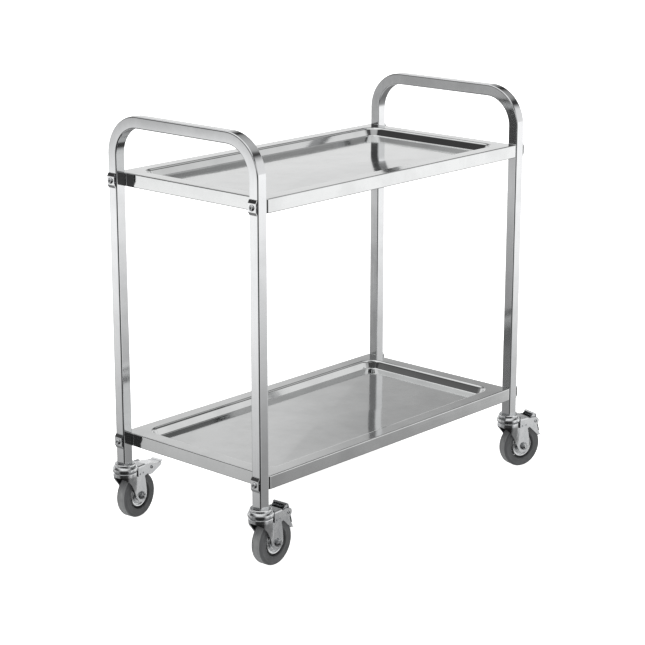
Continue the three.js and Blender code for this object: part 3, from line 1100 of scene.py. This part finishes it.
@dataclass(frozen=True)
class Fork:
    """Pressed fork: a round crown that closes in to two flat cheeks with round eyes.

    Attributes:
        crown: radius of the crown, mm.
        half: half the width over the cheeks, mm.
        sheet: sheet thickness, mm.
        top: height of the crown, mm.
        eye: radius of the cheek round the axle, mm.
        shoulder: radius between skirt and top, mm.
        fold: where the crown starts and ends its turn into the cheek, mm behind the swivel axis.
        tail: where the top ends, mm behind the swivel axis.
        arch: where the front arch's edge is highest, (mm behind the swivel axis, height).
        lean: the handle that the arch's edge leans on.
        knee: where the arch's edge meets the leading edge.
        skirt: (height, share of the way from the cheeks' width to the crown's).
        bow: how far the trailing edge bows out, mm.
    """

    crown: float = 25.5
    half: float = 18.5
    sheet: float = 2.5
    top: float = 112.0
    eye: float = 15.5
    shoulder: float = 2.8
    fold: Pair = (6.0, 19.0)
    tail: float = 40.5
    arch: Pair = (-27.0, 103.5)
    lean: Pair = (-8.5, 92.0)
    knee: Pair = (3.6, 72.0)
    skirt: tuple[Pair, ...] = ((30, 0), (50, 0.03), (66, 0.12), (80, 0.42), (92, 0.8), (102, 1))
    bow: float = 3.06

    def spread(self, z: float) -> float:
        """Radius of the crown at a height."""
        return self.half + (self.crown - self.half) * height_at(self.skirt, z)

    def side(self, x: float, z: float) -> float:
        """Works out half the fork's width at a point of its side.

        Args:
            x: distance behind the swivel axis, mm.
            z: height, mm.

        Returns:
            Half the width there, mm.
        """
        start, end = self.fold
        radius = self.spread(z)
        if x < 0:
            return math.sqrt(max(radius**2 - x * x, 0))
        share = min(max((x - start) / (end - start), 0), 1)
        smooth = share * share * (3 - 2 * share)
        return radius + (self.half - radius) * smooth

    def lower_edge(self, seat: Seat) -> list[Pair]:
        """Lower boundary from the front arch along the leading edge and round the eye."""
        line = [bezier(self.arch, self.lean, self.knee, k / 12) for k in range(13)]
        return [*line, *arc((seat.trail, seat.axle), self.eye, 208, 360, 24)]

    def build(self, seat: Seat, shop: Workshop) -> None:
        """Builds and dresses the fork.

        Args:
            seat: where the caster stands.
            shop: the workshop.
        """
        edge = self.lower_edge(seat)
        columns = [self.front_column(math.radians(180 - 90 * k / 12), edge) for k in range(13)]
        cheek = [p for p in edge if p[0] > 0.5]
        feet = along([(0.0, height_at(edge, 0.0)), *cheek], 40)[1:]
        columns += [self.cheek_column(foot, (k + 1) / len(feet)) for k, foot in enumerate(feet)]
        how = Softening(self.sheet, edge=0.45, angle=50)
        inside = Vector((15, 0, 80))
        shop.settle(Shell().halves(columns), f"{seat.corner}_fork", Slot.ZINC, seat.place(), how, inside)

    def over_the_top(self, skirt: list[Vector], inward: Vector, reach: float) -> list[Vector]:
        """Carries a column over the shoulder and across the top to the middle.

        Args:
            skirt: the column's points so far.
            inward: direction towards the middle.
            reach: distance to the middle, mm.

        Returns:
            The whole column.
        """
        last, up = skirt[-1], Vector((0, 0, 1))
        r = self.shoulder
        bend = [last + inward * (r - a) + up * b for a, b in arc((0, 0), r, 15, 90, 5)]
        flat = [bend[-1] + inward * (reach - r) * share for share in (0.3, 0.65, 1.0)]
        return [*skirt, *bend, *flat]

    def front_column(self, angle: float, edge: list[Pair]) -> list[Vector]:
        """Draws one line of the crown, from the arch's edge up to the middle of the top.

        Args:
            angle: angle round the swivel axis, radians.
            edge: the fork's lower boundary.

        Returns:
            The column's points.
        """
        low = self.top
        for _ in range(6):
            low = height_at(edge, self.spread(min(low, self.top)) * math.cos(angle))
        skirt = []
        for k in range(15):
            z = low + (self.top - self.shoulder - low) * k / 14
            radius = self.spread(z)
            skirt.append(Vector((radius * math.cos(angle), radius * math.sin(angle), z)))
        return self.over_the_top(skirt, Vector((-math.cos(angle), -math.sin(angle), 0)), self.crown)

    def cheek_column(self, foot: Pair, share: float) -> list[Vector]:
        """Draws one line of the cheek, from its lower edge up to the middle of the top.

        Args:
            foot: where the line starts on the lower edge.
            share: how far back the line is; the last one, at 1, is the trailing edge.

        Returns:
            The column's points.
        """
        head = (self.tail * share, self.top - self.shoulder)
        bow = self.bow * max(0.0, (share - 0.6) / 0.4)
        skirt = []
        for k in range(15):
            t = k / 14
            x, z = mix(Vector(foot), Vector(head), t)
            x += bow * math.sin(math.pi * t) * (1 - t)
            skirt.append(Vector((x, self.side(x, z), z)))
        return self.over_the_top(skirt, Vector((0, -1, 0)), skirt[-1].y)


@dataclass(frozen=True)
class Axle:
    """Hexagon bolt across the fork, with a nylon-ring nut and plain washers.

    Attributes:
        radius: shank radius, mm.
        head: corner radius and thickness of the head, mm.
        nut: corner radius and thickness of the nut, mm.
        seat: half the width over the cheeks and the gap, mm.
        washer: radius and thickness of the washers, mm.
        pitch: distance between the three threads that show, mm.
        spare: how far the bolt stands out of the nut, mm.
    """

    radius: float = 4.9
    head: Pair = (9.0, 5.5)
    nut: Pair = (8.6, 6.0)
    seat: float = 18.8
    washer: Pair = (9.2, 1.2)
    pitch: float = 0.9
    spare: float = 3.0

    def hexagon(self, shell: Shell, radius: float, near: float, far: float) -> None:
        """Adds a hexagon with its outer corners turned off.

        Args:
            shell: the piece that it belongs to.
            radius: radius over its corners, mm.
            near: where it starts along Y, mm.
            far: where it ends, mm.
        """
        flat = radius * math.cos(math.pi / 6)
        rows = []
        for share, most in ((0, flat + 0.25), (0.12, radius), (0.82, radius), (1.0, flat + 0.25)):
            ring = [(a, min(hexagon_radius(flat, a), most)) for a in (math.tau * k / 48 for k in range(48))]
            depth = near + (far - near) * share
            rows.append([Vector((r * math.sin(a), depth, r * math.cos(a))) for a, r in ring])
        shell.grid(rows, wrap=True).cap(rows[0]).cap(rows[-1])

    def build(self, seat: Seat, shop: Workshop) -> None:
        """Builds and dresses the bolt and the nut.

        Args:
            seat: where the caster stands.
            shop: the workshop.
        """
        place = seat.place(seat.trail, seat.axle)
        how = Softening.smooth(30)
        shop.settle(self.bolt(), f"{seat.corner}_axle", Slot.FASTENERS, place, how)
        shop.settle(self.locknut(), f"{seat.corner}_nut", Slot.FASTENERS, place, how)

    def bolt(self) -> Shell:
        """Draws the bolt with its washer and the last of its thread.

        Returns:
            The bolt.
        """
        s, r, (head, thick), (wide, flat) = self.seat, self.radius, self.head, self.washer
        end = -s - self.nut[1] - self.spare
        bolt = Shell().turned([(0, s + 1), (r, s + 1), (r, end + 1.0), (r - 1.0, end), (0, end)], 32, Axis.Y)
        self.hexagon(bolt, head, s + flat, s + thick)
        bolt.turned([(r, s), (wide, s), (wide, s + flat), (r, s + flat), (r, s)], 40, Axis.Y)
        for k in range(3):
            y = end + 1.2 + self.pitch * k
            bolt.turned([(r - 0.1, y - 0.35), (r + 0.25, y), (r - 0.1, y + 0.35)], 32, Axis.Y)
        return bolt

    def locknut(self) -> Shell:
        """Draws the nut with its washer and its nylon collar.

        Returns:
            The nut.
        """
        hole, (nut, deep) = self.radius + 0.7, self.nut
        near, far = -self.seat - 0.2, -self.seat - 1.3
        shell = Shell().turned([(hole, near), (9.4, near), (9.4, far), (hole, far), (hole, near)], 40, Axis.Y)
        self.hexagon(shell, nut, far, -self.seat - 4.6)
        base, end = -self.seat - 4.4, -self.seat - deep
        collar = [(hole, base, 0), (7.2, base, 0.3), (6.9, end, 0.9), (hole, end, 0.3)]
        return shell.turned(rounded(collar, 4), 40, Axis.Y)


@dataclass(frozen=True)
class Wheel:
    """Pressed disc wheel with a plain hub and a moulded rubber tyre.

    Attributes:
        radius: rolling radius, mm.
        tread: width of the tyre, mm.
        rim: radius of the disc's rim, mm.
        hole: radius of the hub's bore, mm.
        hub: half the length of the hub, mm.
        groove: depth of the two fine grooves moulded in the tread, mm.
        groove_at: distance of each groove from the middle of the tread, mm.
        sides: segments round the tyre.
    """

    radius: float = 50.0
    tread: float = 28.0
    rim: float = 27.0
    hole: float = 5.3
    hub: float = 15.0
    groove: float = 0.9
    groove_at: float = 5.0
    sides: int = 128

    def build(self, seat: Seat, shop: Workshop) -> None:
        """Builds and dresses the disc and the tyre.

        Args:
            seat: where the caster stands.
            shop: the workshop.
        """
        place = seat.place(seat.trail, seat.axle)
        half = [
            (self.hole, self.hub, 0.4), (8.6, self.hub, 0.8), (9.6, 9.0, 1.5), (14.0, 7.4, 1.6),
            (15.6, 9.0, 0.9), (17.4, 9.0, 0.9), (18.8, 7.0, 1.2), (21.6, 6.8, 1.2), (23.2, 10.2, 1.0),
            (25.6, 10.6, 0.8), (self.rim, 9.4, 0.5),
        ]
        profile = rounded(mirrored(half), 4, closed=True)
        disc = Shell().turned([*profile, profile[0]], 96, Axis.Y)
        shop.settle(disc, f"{seat.corner}_hub", Slot.DISC, place, Softening.smooth(60))
        shop.settle(self.tyre(), f"{seat.corner}_tyre", Slot.RUBBER, place, Softening.smooth(45))

    def tyre(self) -> Shell:
        """Draws the tyre: beads against the rim, dished side walls and a grooved tread.

        Returns:
            The tyre.
        """
        w, r, bore = self.tread / 2, self.radius, self.rim + 0.7
        wall = [
            (bore, w - 10.0, 0.2), (29.6, w - 9.0, 0.3), (31.0, w - 1.8, 0.8), (32.6, w - 0.6, 0.8),
            (34.6, w - 1.6, 1.0), (42.0, w - 1.0, 4.0), (45.2, w, 2.0), (r - 1.6, w - 1.6, 3.0),
            (r, w - 5.0, 1.0),
        ]
        y = self.groove_at
        groove = [(r, y + 1.1, 0.2), (r - self.groove, y, 0.3), (r, y - 1.1, 0.2)]
        walls, tread = rounded(wall, 5), rounded([(r, w - 5.0, 0), *groove, (r, 0, 0)], 3)
        shell = Shell()
        for side in (-1, 1):
            # Mark 1 gives the tread its finish, whose paler colour is partly scuffing and partly painted
            # light.
            for mark, line in enumerate((walls, tread)):
                shell.turned([(a, side * b) for a, b in line], self.sides, Axis.Y, mark)
        return shell.turned([(bore, w - 10.0), (bore, 10.0 - w)], self.sides, Axis.Y)


@dataclass(frozen=True)
class BrakeBracket:
    """Channel spot-welded over the back of the fork, open behind for the pedal.

    Attributes:
        half: half the width over its flanges, mm.
        sheet: sheet thickness, mm.
        top: height of its web, mm.
        bend: radius of its two bends, mm.
        clear: radius of the round cut-out that clears the race cover, mm.
        web_end: where the web ends, mm behind the swivel axis.
        front: where the flanges start, mm behind the swivel axis.
        lug: radius of the flanges round the pin, mm.
        welds: places of the projection welds on each flange, which leave small round pits.
    """

    half: float = 20.8
    sheet: float = 2.0
    top: float = 119.5
    bend: float = 3.0
    clear: float = 28.5
    web_end: float = 43.5
    front: float = 19.5
    lug: float = 9.5
    welds: tuple[Pair, ...] = ((25.5, 101.0), (36.0, 101.4))

    def lower(self, seat: Seat) -> list[Pair]:
        """Draws the lower edge of a flange, from its front corner to the pin.

        Args:
            seat: where the caster stands.

        Returns:
            Points (behind the swivel axis, height).
        """
        (x, z), lug = seat.pin, arc(seat.pin, self.lug, -110, 0, 11)
        front = [(self.front, 97.2, 0), (self.front + 1.0, 95.8, 1.0), (40, 93, 12)]
        return [*rounded([*front, (x - 4.5, z - 9, 6), (*lug[0], 0)], 5), *lug]

    def upper(self, seat: Seat) -> list[Pair]:
        """Upper edge of a flange behind the web."""
        high, lug = self.top - self.bend, arc(seat.pin, self.lug, 80, 0, 8)
        return [*rounded([(self.web_end, high, 0), (54, high, 6), (*lug[0], 0)], 5), *lug]

    def flange(self, low: list[Pair], high: list[Pair], places: list[float]) -> Rows:
        """Draws part of a flange.

        Args:
            low: its lower edge.
            high: its upper edge.
            places: distances behind the swivel axis, mm.

        Returns:
            A row of points from the lower to the upper edge at each place.
        """
        ends = [(x, height_at(low, x), height_at(high, x)) for x in places]
        return [[Vector((x, self.half, a + (b - a) * k / 8)) for k in range(9)] for x, a, b in ends]

    def build(self, seat: Seat, shop: Workshop) -> None:
        """Builds and dresses the bracket.

        Args:
            seat: where the caster stands.
            shop: the workshop.
        """
        spring, low = self.top - self.bend, self.lower(seat)
        flat = [(self.front, spring), (self.web_end, spring)]
        # The flange stops just short of the lug's tip, where its two edges would meet.
        web, end = self.web_end - self.front, seat.pin[0] + self.lug - 0.05
        rows = self.flange(low, flat, [self.front + web * i / 16 for i in range(17)])
        closer = [math.sin(math.pi / 2 * i / 24) for i in range(25)]
        places = [self.web_end + (end - self.web_end) * t for t in closer]
        behind = self.flange(low, self.upper(seat), places)
        for i, row in enumerate(rows):
            share = i / (len(rows) - 1)
            for a, b in arc((self.half - self.bend, spring), self.bend, 15, 90, 5):
                row.append(self.web_point(share, a, b))
            for k in range(1, 9):
                row.append(self.web_point(share, (self.half - self.bend) * (1 - k / 8), self.top))
        shell = Shell().halves(rows).halves(behind)
        how = Softening(self.sheet, edge=0.4, angle=50, cutter=self.pits())
        node, inside = f"{seat.corner}_brake_bracket", Vector((43, 0, 100))
        shop.settle(shell, node, Slot.ZINC, seat.place(), how, inside)
        self.rivet_pin(seat, shop)

    def pits(self) -> Shell:
        """Draws the round cutters that leave a pit at each weld.

        Returns:
            The cutters.
        """
        shell = Shell()
        for x, z in self.welds:
            for side in (-1, 1):
                near, far = side * (self.half - 1.8), side * (self.half + 1.0)
                pit = Shell().turned([(0, near), (1.5, near), (1.9, far), (0, far)], 20, Axis.Y)
                shell.add(pit.moved(Vector((x, 0, z))))
        return shell

    def web_point(self, share: float, y: float, z: float) -> Vector:
        """Works out a point of the web, which starts at the round cut-out.

        Args:
            share: how far back the point is, from the cut-out to the web's end.
            y: distance to the side, mm.
            z: height, mm.

        Returns:
            The point.
        """
        first = max(math.sqrt(max(self.clear**2 - y * y, 0)), self.front)
        return Vector((first + (self.web_end - first) * share, y, z))

    def rivet_pin(self, seat: Seat, shop: Workshop) -> None:
        """Builds the pedal's pin, riveted over outside the flanges.

        Args:
            seat: where the caster stands.
            shop: the workshop.
        """
        s = self.half + 0.3
        hollow = [(0, s - 7.0, 0), (2.3, s - 6.8, 0.3), (2.4, s + 1.5, 0.3)]
        half = [*hollow, (3.4, s + 1.3, 0.5), (4.0, s, 0.2), (3.0, s, 0)]
        pin = Shell().turned(rounded(mirrored(half), 4), 32, Axis.Y)
        place = seat.place(*seat.pin)
        shop.settle(pin, f"{seat.corner}_brake_pin", Slot.FASTENERS, place, Softening.smooth(50))


@dataclass(frozen=True)
class BrakePedal:
    """Cranked plate on two cheeks that straddle the tyre, with a shoe between them.

    Attributes:
        half: half the width of the plate, mm.
        tail: half its width at the back, mm.
        cheek: half the width over the cheeks, mm.
        sheet: sheet thickness, mm.
        nose: front end of the plate from the pin, mm.
        tip: back end of the cheeks from the pin, mm.
        shoe: corners of the shoe's edge, (behind the pin, above it), mm.
    """

    half: float = 18.2
    tail: float = 14.5
    cheek: float = 16.8
    sheet: float = 1.8
    nose: float = -17.0
    tip: float = 40.0
    shoe: tuple[Pair, ...] = ((4.4, -9.6), (6.2, -11.3), (11.2, -6.6), (9.6, -4.6))

    def crank(self) -> list[Pair]:
        """Side view of the plate's upper face, from nose to lip."""
        curl = [(self.nose - 0.2, 3.2, 0), (self.nose - 0.2, 10.0, 3.4)]
        return rounded([*curl, (8, 5.4, 14), (27.5, 1.6, 7), (41.5, 0.6, 2.5), (45, 3.4, 0)], 6)

    def plate(self, shell: Shell) -> None:
        """Adds the cranked plate.

        Args:
            shell: the piece that it belongs to.
        """
        top = along(self.crank(), 56)
        under = beside(top, self.sheet)
        half_width = [(self.nose, self.half), (29, self.half), (31, self.tail), (46, self.tail)]
        rows, lower = [], []
        for line, skin in ((top, rows), (under, lower)):
            for (x, z), (at, _) in zip(line, top):
                w = height_at(half_width, at)
                skin.append([Vector((x, w * k / 6, z)) for k in range(-6, 7)])
        shell.grid(rows).grid(lower)
        shell.grid([rows[0], lower[0]]).grid([rows[-1], lower[-1]])
        for side in (0, -1):
            shell.grid([[row[side] for row in rows], [row[side] for row in lower]])

    def cheek_line(self) -> list[Pair]:
        """Draws the outline of a cheek.

        Returns:
            Its points, from the nose down and back to the tip, and forward under the plate.
        """
        under = self.sheet - 0.2
        front = [bezier((self.nose, 9.8 - under), (-16, -7), (-8, -14.5), k / 6) for k in range(7)]
        lobe = [bezier((-8, -14.5), (0, -21.5), (10, -17), k / 8) for k in range(1, 9)]
        end = self.tip
        tip = rounded([(10, -17, 0), (end - 1.5, -6.5, 2.5), (end, -4, 1.5), (end - 1, 2.1 - under, 0)], 4)
        back = [(27.5, 1.6 - under), (8, 5.4 - under)]
        return [*front, *lobe, *tip[1:], *back]

    def build(self, seat: Seat, shop: Workshop) -> None:
        """Builds and dresses the pedal, swung down where the brake is on.

        Args:
            seat: where the caster stands.
            shop: the workshop.
        """
        shell = Shell()
        self.plate(shell)
        inner = self.cheek - self.sheet
        for low, high in ((-self.cheek, -inner), (inner, self.cheek)):
            shell.plate(self.cheek_line(), low, high)
        shoe = [(a, b, 0.5) for a, b in self.shoe]
        shell.plate(rounded(shoe, 3, closed=True), -inner - 0.4, inner + 0.4)
        swing = seat.swing if seat.brake is Brake.ON else 0.0
        place = seat.place(*seat.pin) @ Matrix.Rotation(swing, 4, "Y")
        how = Softening(edge=0.3, angle=50)
        shop.settle(shell, f"{seat.corner}_brake_pedal", Slot.ZINC, place, how)


# ---- studio -------------------------------------------------------------------------------


@dataclass(frozen=True)
class Studio:
    """Pale floor, soft lights, the surroundings that the metal mirrors, and the camera.

    Attributes:
        azimuth: the camera's place round the trolley, degrees; 0 looks along +Y.
        elevation: its height above the horizon, degrees.
        distance: from the aim point, mm.
        lens: focal length, mm, on a sensor 36 mm wide.
        aim: aim point from the middle of the end frames at the floor, mm.
    """

    azimuth: float = -47.85
    elevation: float = 15.33
    distance: float = 4269.0
    lens: float = 108.56
    aim: Vector = Vector((-8.6, -3.2, 398.4))

    # Nearest and farthest distance that the camera sees, and half the floor's width, m.
    CLIP = (0.05, 400.0)
    REACH = 250.0
    # Strength of the floor's own light, which keeps it white.
    GLOW = 0.92
    # Brightness of the sweep below the horizon, by degrees down from its edge.
    SWEEP = (
        (-5, 1.5), (14, 1.5), (15.5, 1.42), (16.9, 1.24), (18.4, 0.97), (20.1, 0.8), (21.3, 0.55),
        (23.4, 0.42), (26, 0.36), (34, 0.26), (50, 0.3), (90, 0.6),
    )
    # Degrees by which the sweep's edge is raised, round the room.
    SWEEP_EDGE = (
        (-180, 2), (-75, 0), (-62, 1), (-52, 5), (-48, 4.5), (-43, 3), (-37, 3.4), (-34, 0),
        (-25, -1.5), (0, 2), (40, 3), (100, 2), (130, 3.2), (134, 0.5), (137, 0), (138.8, 8.6),
        (144, 8.4), (160, 6), (180, 2),
    )
    # The sweep's rim on the left is darker, by degrees above the horizon.
    RIM = ((-90, 1), (-11.4, 1), (-10.2, 0.7), (-8.7, 0.42), (-6, 0.36), (90, 0.36))
    # Far wall and ceiling, by degrees above the horizon.
    FAR = (
        (-90, 0.9), (6, 1.1), (8.5, 1.1), (12, 1.07), (16, 0.98), (20, 0.98), (25, 0.6), (30, 0.1),
        (33, 0.1), (37, 0.8), (47, 1.3), (90, 1.5),
    )
    # Part of the far wall is darker, round the room, and only above a certain height.
    FAR_SHADE = ((-180, 1), (20, 0.5), (37, 0.5), (41, 0.62), (44, 0.92), (60, 1), (180, 1))
    FAR_MASK = ((-90, 0), (12, 0), (15, 1), (90, 1))
    # Near wall on the right, and where it runs round the room.
    NEAR = ((-90, 1.3), (22, 1.1), (28, 0.7), (33, 0.1), (44, 0.08), (50, 1.0), (60, 1.4), (90, 1.5))
    NEAR_RUN = ((-180, 0), (-110, 0), (-100, 1), (-30, 1), (-24, 0), (180, 0))
    # Dark wall on the left, and where it runs.
    LEFT = (
        (-90, 0.1), (12, 0.1), (17, 0.34), (24, 0.08), (36, 0.05), (44, 0.6), (52, 1.3), (90, 1.5),
    )
    LEFT_RUN = ((-180, 0), (106, 0), (116, 1), (168, 1), (180, 0))
    # The room behind the camera is dark, and less so higher up.
    CAMERA_SIDE = (
        (-180, 0.1), (-172, 0.06), (-106, 0.06), (-92, 0.6), (-80, 1), (162, 1), (170, 0.6), (180, 0.1),
    )
    CAMERA_SIDE_MASK = ((-90, 1), (-2, 1), (6, 0.6), (14, 0.3), (30, 0.12), (90, 0))

    def camera(self) -> None:
        """Sets up the camera."""
        left, right = node_box("left_end_frame"), node_box("right_end_frame")
        middle = Vector(((left[0].x + right[1].x) / 2, (left[0].y + left[1].y) / 2, 0))
        a, e = math.radians(self.azimuth), math.radians(self.elevation)
        back = Vector((math.sin(a) * math.cos(e), -math.cos(a) * math.cos(e), math.sin(e)))
        lens = bpy.data.cameras.new("camera")
        lens.lens, lens.sensor_width = self.lens, 36.0
        lens.clip_start, lens.clip_end = self.CLIP
        camera = stand("camera", lens)
        camera.location = (middle + self.aim + back * self.distance) * MM
        camera.rotation_mode = "QUATERNION"
        camera.rotation_quaternion = (-back).to_track_quat("-Z", "Y")
        bpy.context.scene.camera = camera

    def floor(self) -> None:
        """Lays a self-lit white sweep, too large to show an edge."""
        mesh = bpy.data.meshes.new("floor")
        corners = [(a * self.REACH, b * self.REACH, 0) for a, b in QUADRANTS]
        mesh.from_pydata(corners, [], [(0, 1, 2, 3)])
        floor = stand("floor", mesh)
        material = bpy.data.materials.new("white_sweep")
        material.use_nodes = True
        shader = material.node_tree.nodes["Principled BSDF"]
        looks = {
            "Base Color": linear("#F2F2F2"),
            "Roughness": 1.0,
            "Specular IOR Level": 0.0,
            "Emission Color": linear("#FFFFFF"),
            "Emission Strength": self.GLOW,
        }
        for socket, value in looks.items():
            shader.inputs[socket].default_value = value
        floor.data.materials.append(material)
        floor.visible_glossy = False

    def sun(self, name: str, toward: Vector, strength: float, spread: float) -> None:
        """Adds a soft distant light.

        Args:
            name: its name.
            toward: the direction in which it shines.
            strength: its strength, W/m2.
            spread: the angle that it fills in the sky, degrees.
        """
        lamp = bpy.data.lights.new(name, "SUN")
        lamp.energy, lamp.angle = strength, math.radians(spread)
        light = stand(name, lamp)
        light.rotation_mode = "QUATERNION"
        light.rotation_quaternion = toward.to_track_quat("-Z", "Y")
        light.visible_glossy = False

    def graded(
        self, tree: bpy.types.NodeTree, value: bpy.types.NodeSocket, points: Sequence[Pair]
    ) -> bpy.types.NodeSocket:
        """Reads a brightness off a line of (degrees, brightness) points.

        Args:
            tree: the world's node tree.
            value: the socket with the degrees.
            points: the line's points, in order of degrees.

        Returns:
            The socket with the brightness.
        """
        first, last = points[0][0], points[-1][0]
        low, top = min(result for _, result in points), max(result for _, result in points)
        ends = {"Value": value, "From Min": first, "From Max": last}
        share = add_node(tree, "ShaderNodeMapRange", ends).outputs[0]
        node = add_node(tree, "ShaderNodeFloatCurve", {"Value": share})
        line = node.mapping.curves[0]
        while len(line.points) < len(points):
            line.points.new(0.5, 0.5)
        for point, (at, result) in zip(line.points, points):
            point.location = ((at - first) / (last - first), (result - low) / (top - low))
            point.handle_type = "VECTOR"
        node.mapping.update()
        stretch = {"Value": node.outputs[0], "To Min": low, "To Max": top}
        return add_node(tree, "ShaderNodeMapRange", stretch).outputs[0]

    def surroundings(self) -> None:
        """Sets the world that the metal mirrors: a bright sweep with darker parts of the room."""
        world = bpy.data.worlds.new("studio")
        bpy.context.scene.world = world
        world.use_nodes = True
        tree = world.node_tree
        tree.nodes.clear()
        direction = add_node(tree, "ShaderNodeTexCoord").outputs["Generated"]
        x, y, z = add_node(tree, "ShaderNodeSeparateXYZ", {0: direction}).outputs
        round_room = add_node(tree, "ShaderNodeMath", {0: y, 1: x}, operation="ARCTAN2").outputs[0]
        above = add_node(tree, "ShaderNodeMath", {0: z}, operation="ARCSINE").outputs[0]
        turn, rise = (
            add_node(tree, "ShaderNodeMath", {0: angle}, operation="DEGREES").outputs[0]
            for angle in (round_room, above)
        )
        edge = self.graded(tree, turn, self.SWEEP_EDGE)
        drop = add_node(tree, "ShaderNodeMath", {0: edge, 1: rise}, operation="SUBTRACT").outputs[0]
        left = self.graded(tree, turn, self.LEFT_RUN)
        dimmed = {0: left, 2: 1.0, 3: self.graded(tree, rise, self.RIM)}
        rim = add_node(tree, "ShaderNodeMix", dimmed).outputs[0]
        low = {0: self.graded(tree, drop, self.SWEEP), 1: rim}
        below = add_node(tree, "ShaderNodeMath", low, operation="MULTIPLY").outputs[0]
        shade = {0: self.graded(tree, rise, self.FAR_MASK), 2: 1.0}
        shade[3] = self.graded(tree, turn, self.FAR_SHADE)
        shaded = add_node(tree, "ShaderNodeMix", shade).outputs[0]
        far = {0: self.graded(tree, rise, self.FAR), 1: shaded}
        walls = add_node(tree, "ShaderNodeMath", far, operation="MULTIPLY").outputs[0]
        near = self.graded(tree, turn, self.NEAR_RUN)
        for run, wall in ((near, self.NEAR), (left, self.LEFT)):
            blend = {0: run, 2: walls, 3: self.graded(tree, rise, wall)}
            walls = add_node(tree, "ShaderNodeMix", blend).outputs[0]
        up = add_node(tree, "ShaderNodeMath", {0: z, 1: 0.0}, operation="GREATER_THAN").outputs[0]
        room = add_node(tree, "ShaderNodeMix", {0: up, 2: below, 3: walls}).outputs[0]
        side = {0: self.graded(tree, rise, self.CAMERA_SIDE_MASK), 2: 1.0}
        side[3] = self.graded(tree, turn, self.CAMERA_SIDE)
        camera_side = add_node(tree, "ShaderNodeMix", side).outputs[0]
        glow = add_node(tree, "ShaderNodeMath", {0: room, 1: camera_side}, operation="MULTIPLY").outputs[0]
        back = add_node(tree, "ShaderNodeBackground", {"Strength": glow})
        add_node(tree, "ShaderNodeOutputWorld", {"Surface": back.outputs[0]})

    def build(self) -> None:
        """Sets up the whole studio."""
        bpy.context.scene.view_settings.view_transform = "Standard"
        self.camera()
        self.floor()
        self.sun("overhead_softbox", Vector((0.1, 0.15, -1)), 0.7, 90)
        self.sun("side_softbox", Vector((0.9, 0.25, -0.45)), 0.9, 50)
        self.surroundings()


def main() -> None:
    """Builds the trolley and its studio."""
    logging.basicConfig(level=logging.INFO, format="%(name)s: %(message)s")
    shop = Workshop()
    for node in ("left_end_frame", "right_end_frame"):
        EndFrame(node).build(shop)
    for level in Level:
        Tray(f"{level}_tray").build(shop)
    for corner in Leg:
        for level in Level:
            LegFixing(level, corner).build(shop)
        seat = Seat.of(corner)
        for part in (Stem(), Fork(), Axle(), Wheel(), BrakeBracket(), BrakePedal()):
            part.build(seat, shop)
    Studio().build()


if __name__ == "__main__":
    main()
